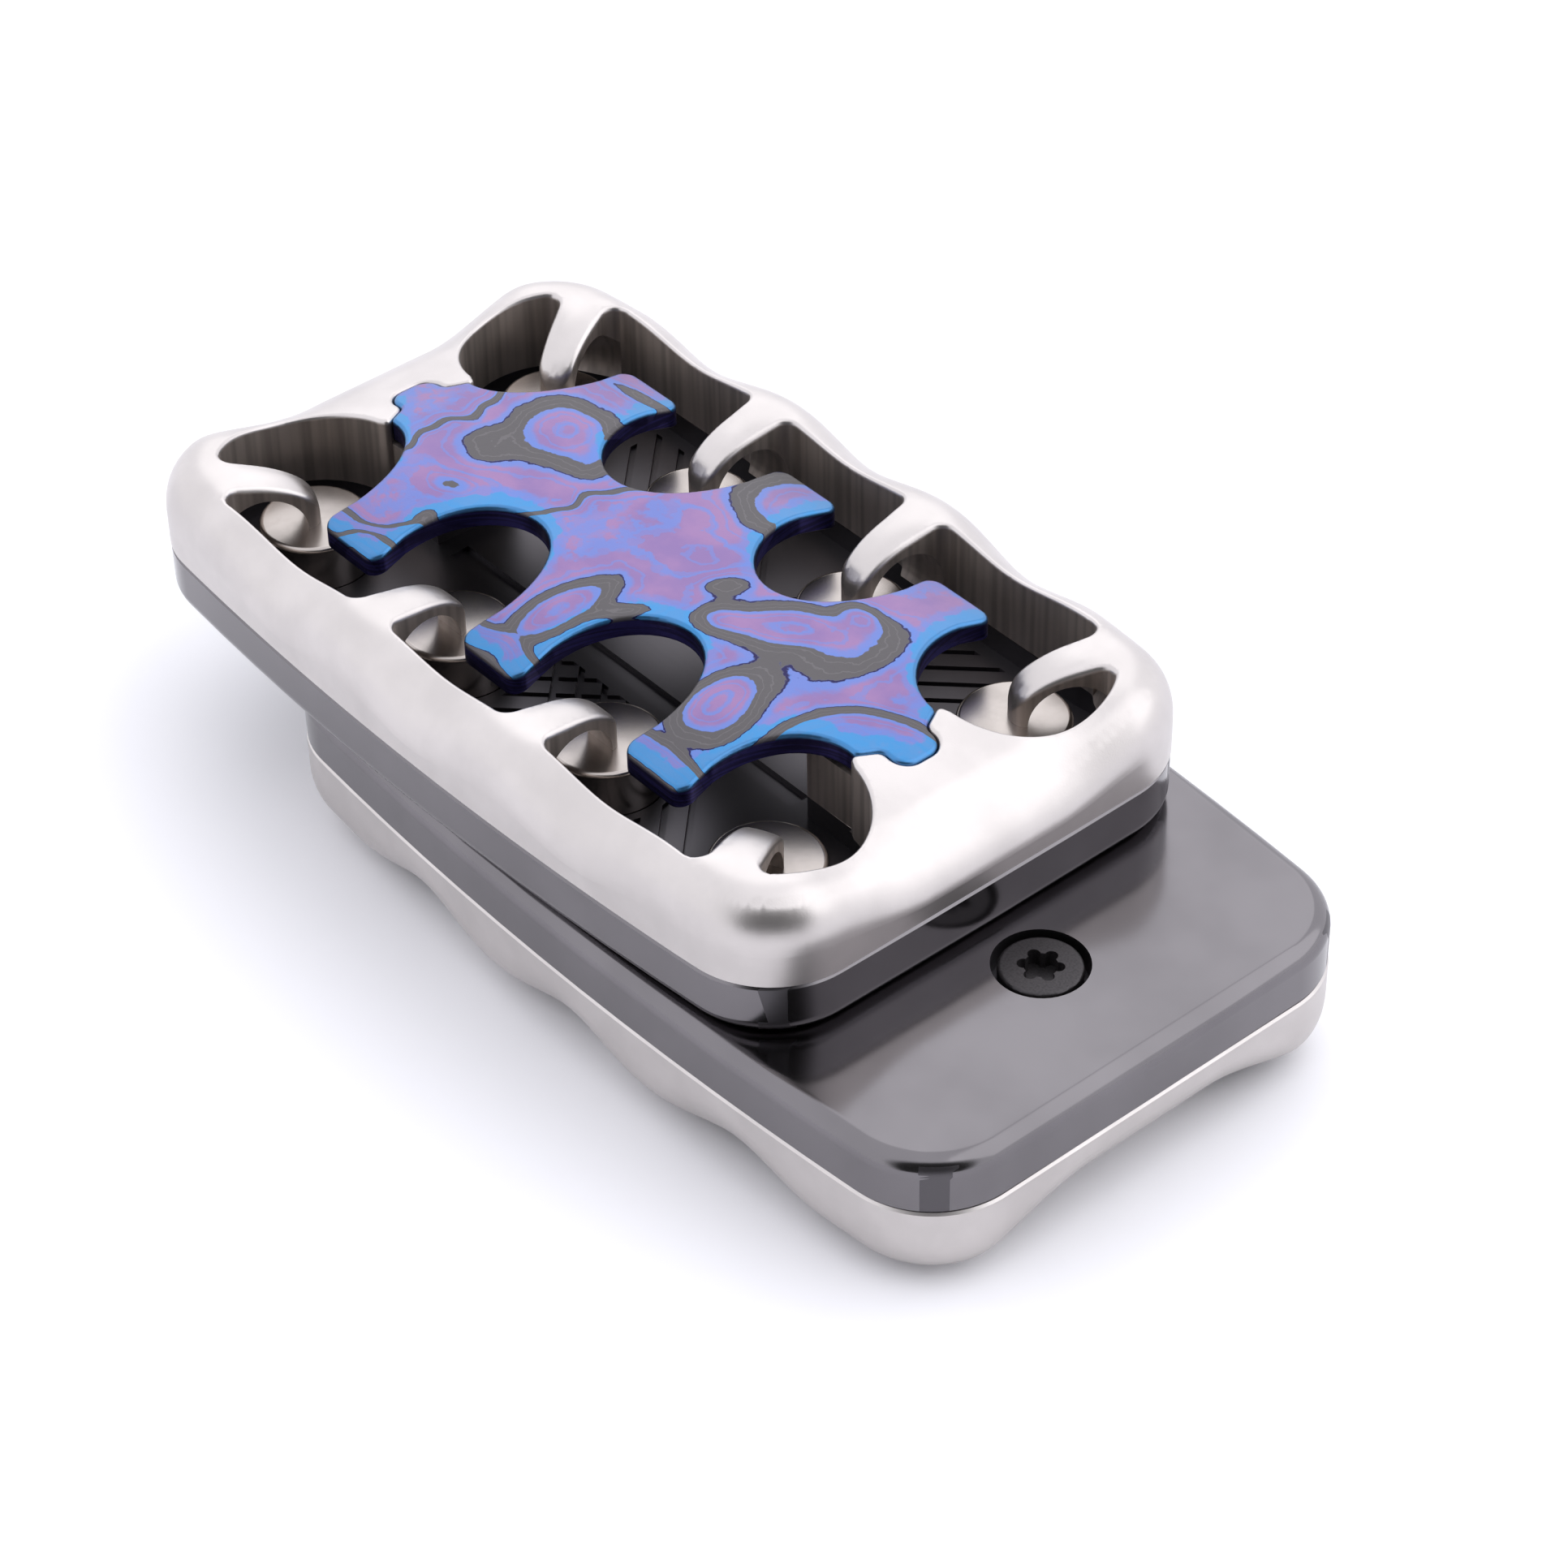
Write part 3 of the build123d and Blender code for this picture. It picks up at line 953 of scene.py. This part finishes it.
    def bores(self) -> list[Piece]:
        """Discs in the places of the magnets and the screws, with room round them."""
        radius, low = MAGNET_R + self.magnet_gap, PLATE_T - 1
        tools = [disc(radius, low, MAGNET_TOP, (x, side * MAGNET_ROW), 64)
                 for x, side in product(MAGNET_XS, (-1, 1))]
        return tools + [disc(self.bore_radius, low, self.bore_top, (end * SCREW_X, 0), 32)
                        for end in (-1, 1)]

    def tunnels(self) -> list[Piece]:
        """Round bars below the claws, which leave only a strap that arches over each magnet."""
        bars = []
        for (mx, ax, ay), end, side in product(self.claws, (-1, 1), (-1, 1)):
            x, y = mx + ax * self.tunnel_away, MAGNET_ROW + ay * self.tunnel_away
            turn = math.atan2(side * ay, end * ax) + math.pi / 2
            start_fresh()
            bpy.ops.mesh.primitive_cylinder_add(
                vertices=64, radius=self.tunnel_radius, depth=self.tunnel_length,
                location=(end * x, side * y, MAGNET_TOP), rotation=(0, math.pi / 2, turn))
            bars.append(settled())
        return bars

    def measure(self, piece: Piece, outline: Array) -> None:
        """Stores where the milled walls of the windows are, for the finish."""
        least_depth, rim_width = 0.2, 0.5
        points = vertices(piece)
        edge = distance(points[:, :2], outline)
        below = self.top(points[:, 0], points[:, 1], edge) - points[:, 2]
        carry(piece, "inside", ((below > least_depth) & (edge > rim_width)).astype(float))


@dataclass
class Inlay:
    """The layered inlay: a spine with three pairs of arms and a lobe at each end.

    A knot, where the layers form rings, has its x, y, width, height, turn in degrees and number of layers.
    """

    thickness: float = 1.3
    spine: float = 2.65
    arm: float = 2.4
    neck: float = 2.1
    middle_reach: float = 10.9
    side_reach: float = 10.4
    arm_rounding: float = 0.8
    lobe: tuple[Triple, ...] = ((18.8, 2.63, 0.42), (19.4, 1.4, 0.6), (20.9, 1.4, 1.0))
    side_fall: float = 56.0
    edge_steps: tuple[float, ...] = (0, 0.02, 0.06, 0.12, 0.18, 0.24)
    chamfer: float = 0.1
    # Painted sheen: the shift, towards the camera, that puts the finish's blue and cyan edge band only on
    # the edges that face it.
    sheen_shift: Pair = (0.6, -0.5)
    knots: tuple[tuple[float, ...], ...] = (
        (-11.3, 3.4, 3.3, 2.8, -10.0, 1.0), (-13.1, -0.7, 2.2, 1.9, 0.0, 0.42),
        (-7.6, 2.4, 1.6, 1.6, 0.0, 0.3), (-11.6, -4.0, 1.7, 1.0, 25.0, -0.42),
        (-10.5, -6.7, 0.7, 0.9, 0.0, 0.55), (9.3, 1.1, 3.9, 1.9, 42.0, 1.0),
        (13.4, 2.2, 2.1, 4.0, 0.0, 0.5), (6.4, -1.0, 1.5, 1.0, 35.0, 0.35),
        (11.3, -5.1, 1.6, 3.0, 0.0, 1.0), (13.3, -6.2, 1.4, 2.6, 0.0, 0.4),
        (0.3, -6.3, 1.5, 3.6, -6.0, 1.0), (4.6, 1.1, 1.7, 1.1, 55.0, 0.52),
        (11.0, 4.6, 1.3, 0.9, 0.0, 0.5), (1.3, 9.0, 3.3, 3.7, 0.0, 1.0),
        (2.9, -4.0, 1.6, 0.6, 55.0, 0.5), (2.0, 1.6, 2.6, 1.8, 20.0, -0.25),
        (-0.6, 3.9, 1.5, 1.2, 0.0, -0.2), (-11.6, 9.0, 3.4, 0.7, 8.0, 0.45),
    )

    def outline(self) -> Array:
        """The edge in plan, against the clock."""
        def bay(middle: float) -> list[Triple]:
            """Half an ellipse round a magnet."""
            wide = MAGNET_PITCH / 2 - self.neck
            deep = MAGNET_ROW - self.spine
            return [(middle - wide * math.cos(t), MAGNET_ROW - deep * math.sin(t), 0.0)
                    for t in np.linspace(0, math.pi, 29)]

        left, right = MAGNET_PITCH - self.arm, MAGNET_PITCH + self.arm
        last_bay = bay(MAGNET_XS[3])[:14]
        quarter = [(self.arm, self.middle_reach, self.arm_rounding), *bay(MAGNET_XS[2]),
                   (left, self.side_reach, self.arm_rounding), (right, self.side_reach, self.arm_rounding),
                   *last_bay, *self.lobe]
        return rounded(four_quarters(quarter)[::-1], 0.15)

    def top(self, x: Array, y: Array, edge: Array) -> Array:
        """Height of the crown."""
        return crown(x, y, self.side_fall)

    def layers(self, x: Array, y: Array, depth: Array) -> Array:
        """Number of the metal's layer that comes to the surface at each place, and how much of it."""
        level = 0.02 + 0.3 * depth
        for kx, ky, wide, high, turn, height in self.knots:
            cosine, sine = math.cos(math.radians(turn)), math.sin(math.radians(turn))
            u = (x - kx) * cosine + (y - ky) * sine
            v = (y - ky) * cosine - (x - kx) * sine
            level = level + height * np.exp(-(u / wide) ** 2 - (v / high) ** 2)
        wave = 0.35 * np.sin(1.3 * y + 0.4) + 0.15 * np.sin(3.1 * y)
        left_band = passage(wave - x, 15.3, 17.4)
        cross_band = passage(x * 0.94 - y * 0.36 + 0.03 * y * y + wave, -6.3, -4.5)
        away_from_corner = passage(np.hypot(x - 20.8, y + 4.2), 4.3, 6.7)
        arm_end = -y - 0.5 * (np.abs(x) < 4)
        level = level + left_band + cross_band + 1 - away_from_corner
        return level + passage(arm_end, 8.2, 9.9) + passage(arm_end, 9.8, 11.3)

    def build(self) -> Piece:
        """Makes the inlay, with rounded upper edges, and stores what its finish follows."""
        rim = Rim(self.outline(), self.edge_steps, self.edge_steps[-1], self.chamfer)
        slab = Slab([rim], self.top, lambda x, y, edge: self.top(x, y, edge) - self.thickness, 0.3)
        piece = slab.build("inlay")
        points = vertices(piece)
        edge = distance(points[:, :2], rim.line)
        depth = self.top(points[:, 0], points[:, 1], edge) - points[:, 2]
        # The "edge" number is the distance from the outline of points moved by the sheen shift, and 0 where
        # they leave the inlay. The finish paints a blue and cyan sheen where it is small, on the edges that
        # face the camera.
        ahead = points[:, :2] + np.array(self.sheen_shift)
        carry(piece, "edge", np.where(inside(ahead, rim.line), distance(ahead, rim.line), 0))
        carry(piece, "inside", passage(depth, 0.2, 0.28))
        carry(piece, "layer", self.layers(points[:, 0], points[:, 1], depth))
        shade(piece, 35)
        return piece


@dataclass
class Magnet:
    """A disc magnet with a rounded rim."""

    radius: float = MAGNET_R
    low: float = 0.5
    high: float = MAGNET_TOP
    rounding: float = 0.28

    def build(self) -> Piece:
        """Makes the disc and rounds both of its rims."""
        piece = disc(self.radius, self.low, self.high)
        bevel_edges(piece, lambda a, b: abs(a.z - b.z) < SAME, self.rounding, 4)
        shade(piece, 30)
        return piece


@dataclass
class Screw:
    """A low-head six-lobe screw. Its head looks towards -Z."""

    head_radius: float = 2.15
    head_low: float = 0.1
    head_high: float = 1.4
    shank_radius: float = 1.25
    end: float = 6.6
    core: float = 0.86
    lobe_ring: float = 0.87
    lobe: float = 0.33
    lobes: int = 6
    lobe_turn: float = 20.0
    recess: float = 0.95
    head_bevel: float = 0.2
    edge_bevel: float = 0.04

    def build(self) -> Piece:
        """Makes head and shank, and cuts the six-lobe recess."""
        head = disc(self.head_radius, self.head_low, self.head_high)
        bevel_edges(head, lambda a, b: max(a.z, b.z) < self.head_low + SAME, self.head_bevel, 3)
        cut(head, disc(self.shank_radius, self.head_high - 0.3, self.end, sides=48), "UNION")
        low, high = self.head_low - 1, self.head_low + self.recess
        socket = disc(self.core, low, high, sides=48)
        for i in range(self.lobes):
            turn = math.radians(360 / self.lobes * i + self.lobe_turn)
            spot = (self.lobe_ring * math.cos(turn), self.lobe_ring * math.sin(turn))
            cut(socket, disc(self.lobe, low, high, spot, 24), "UNION")
        cut(head, socket)
        apply_modifier(head, "BEVEL", width=self.edge_bevel, segments=2, limit_method="ANGLE",
                       angle_limit=math.radians(40))
        shade(head, 30)
        return head


@dataclass
class Half:
    """One half of the slider. Its window_zone is where the plate lies under the windows, from its middle."""

    side: Side
    frame: dict[str, Any]
    finishes: dict[str, bpy.types.Material]
    plate_rounding: float = 0.07
    window_zone: Triple = (25.2, 13.6, 0.35)

    def put(self, pattern: Piece, node: str, finish: str,
            at: Pair = (0, 0)) -> None:
        """Copies a piece into this half, in place of its CAD node.

        Args:
            pattern: the piece in a half's own frame.
            node: name of the CAD node without the half's name.
            finish: the record's material slot.
            at: where its axis stands in the half.
        """
        name = f"{self.side.value}_{node}"
        mesh = pattern.data.copy()
        mesh.transform(self.side.place @ Matrix.Translation((*at, 0)))
        mesh.name = f"{name}_skin"
        piece = linked(f"{name}_skin", mesh)
        self.dress(piece, finish)
        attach(piece, self.side.body)
        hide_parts(name)
        log.info("%s: %d faces", name, len(mesh.polygons))

    def dress(self, piece: Piece, finish: str) -> None:
        """Gives a piece one finish all over."""
        piece.data.materials.clear()
        piece.data.materials.append(self.finishes[finish])

    def put_plate(self) -> None:
        """Copies the CAD base plate, rounds its sharp edges a little and polishes it."""
        name = f"{self.side.value}_base_plate"
        mesh = self.frame["nodes"][name].data.copy()
        piece = linked(f"{name}_skin", mesh)
        with editing(piece):
            bpy.ops.mesh.remove_doubles(threshold=2e-6)
            bpy.ops.mesh.customdata_custom_splitnormals_clear()
            bpy.ops.mesh.dissolve_limited(angle_limit=math.radians(0.5))
        apply_modifier(piece, "BEVEL", width=self.plate_rounding * MM, segments=2, limit_method="ANGLE",
                       angle_limit=math.radians(35), harden_normals=False)
        clean(piece, SLIVER * MM)
        middles = np.array([face.center for face in piece.data.polygons])
        away = np.abs(middles - np.array(self.side.place.translation)) / MM
        reach_x, reach_y, least_z = self.window_zone
        under = (away[:, 0] < reach_x) & (away[:, 1] < reach_y) & (away[:, 2] > least_z)
        carry(piece, "inside", under.astype(float), "FACE")
        shade(piece, 25)
        self.dress(piece, "dark_plate")
        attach(piece, self.side.body)
        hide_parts(name)
        log.info("%s: %d faces", name, len(mesh.polygons))


@dataclass
class Studio:
    """Pale floor, soft lights and the camera."""

    azimuth: float = 50.07
    elevation: float = 40.23
    roll: float = -1.155
    distance: float = 0.22836
    aim: Triple = (0.005133, -0.001206, 0.0085)
    lens: float = 102.74
    shift: Pair = (0.0060, 0.0044)
    surround: float = 1.46
    pale: Colour = (0.95, 0.95, 1.0, 1)
    dark: Colour = (0.05, 0.05, 0.05, 1)
    dark_side: Triple = (0.71, -0.60, 0.37)
    dark_fade: Pair = (0.7, 0.87)
    floor_size: float = 6.0
    floor_tones: tuple[Colour, Colour] = ((0.93, 0.93, 0.96, 1), (0.95, 0.95, 0.97, 1))

    def floor(self) -> None:
        """A wide pale floor under the object."""
        start_fresh()
        bpy.ops.mesh.primitive_plane_add(size=self.floor_size, location=(0, 0, 0))
        floor = bpy.context.object
        floor.name = "floor"
        paint = Paint("pale_floor")
        tint = paint.noise(400.0, 2)
        tone = paint.mix(tint, *self.floor_tones)
        floor.data.materials.append(paint.done(Base_Color=tone, Roughness=0.9))

    def lamp(self, name: str, place: Sequence[float], size: float, power: float) -> None:
        """A square soft light that looks at the object."""
        data = bpy.data.lights.new(name, "AREA")
        data.shape = "RECTANGLE"
        data.size = size
        data.size_y = size
        data.energy = power
        lamp = linked(name, data)
        lamp.location = place
        lamp.rotation_euler = (-Vector(place)).to_track_quat("-Z", "Y").to_euler()

    def light(self) -> None:
        """A pale surround with one dark spot, and two soft lights."""
        world = bpy.data.worlds.new("surround")
        bpy.context.scene.world = world
        world.use_nodes = True
        tree = world.node_tree
        background = tree.nodes["Background"]
        background.inputs["Strength"].default_value = self.surround
        spot = tree.nodes.new("ShaderNodeTexCoord")
        facing = tree.nodes.new("ShaderNodeVectorMath")
        facing.operation = "DOT_PRODUCT"
        facing.inputs[1].default_value = self.dark_side
        fade = tree.nodes.new("ShaderNodeValToRGB")
        fade.color_ramp.interpolation = "EASE"
        for stop, place, colour in zip(fade.color_ramp.elements, self.dark_fade, (self.pale, self.dark)):
            stop.position = place
            stop.color = colour
        tree.links.new(spot.outputs["Generated"], facing.inputs[0])
        tree.links.new(facing.outputs["Value"], fade.inputs["Fac"])
        tree.links.new(fade.outputs["Color"], background.inputs["Color"])
        self.lamp("key", place=(0.5, 0.55, 0.85), size=1.3, power=3.6)
        self.lamp("back", place=(-0.6, 0.5, 0.62), size=0.7, power=0.85)
        bpy.context.scene.view_settings.view_transform = "Standard"

    def camera(self) -> None:
        """The camera, a little above the object and to one side of it."""
        az, el = math.radians(self.azimuth), math.radians(self.elevation)
        away = Vector((math.sin(az) * math.cos(el), -math.cos(az) * math.cos(el), math.sin(el)))
        data = bpy.data.cameras.new("camera")
        data.lens = self.lens
        data.shift_x, data.shift_y = self.shift
        data.clip_start = 0.01
        camera = linked("camera", data)
        turn = away.to_track_quat("Z", "Y").to_matrix().to_4x4()
        roll = Matrix.Rotation(math.radians(self.roll), 4, "Z")
        camera.matrix_world = Matrix.Translation(Vector(self.aim) + away * self.distance) @ (turn @ roll)
        bpy.context.scene.camera = camera


def main() -> None:
    """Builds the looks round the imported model."""
    logging.basicConfig(level=logging.INFO, format="%(message)s")
    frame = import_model()
    finishes = {
        "bead_blasted_titanium": SatinTitanium().material(),
        "dark_plate": PolishedPlate().material(),
        "layered_anodised_titanium": LayeredInlay().material(),
        "nickel_plate": NickelPlate().material(),
        "black_screw": BlackScrew().material(),
    }
    patterns = {"shell": Shell().build(), "inlay": Inlay().build(), "magnet": Magnet().build(),
                "screw": Screw().build()}
    for side in Side:
        half = Half(side, frame, finishes)
        half.put_plate()
        half.put(patterns["shell"], "shell", "bead_blasted_titanium")
        half.put(patterns["inlay"], "inlay", "layered_anodised_titanium")
        for row, y in (("near", -MAGNET_ROW), ("far", MAGNET_ROW)):
            for number, x in enumerate(MAGNET_XS, start=1):
                half.put(patterns["magnet"], f"magnet_{row}_{number}", "nickel_plate", (x, y))
        for end, x in (("left", -SCREW_X), ("right", SCREW_X)):
            half.put(patterns["screw"], f"screw_{end}", "black_screw", (x, 0))
    for pattern in patterns.values():
        bpy.data.objects.remove(pattern)
    studio = Studio()
    studio.floor()
    studio.light()
    studio.camera()


if __name__ == "__main__":
    main()
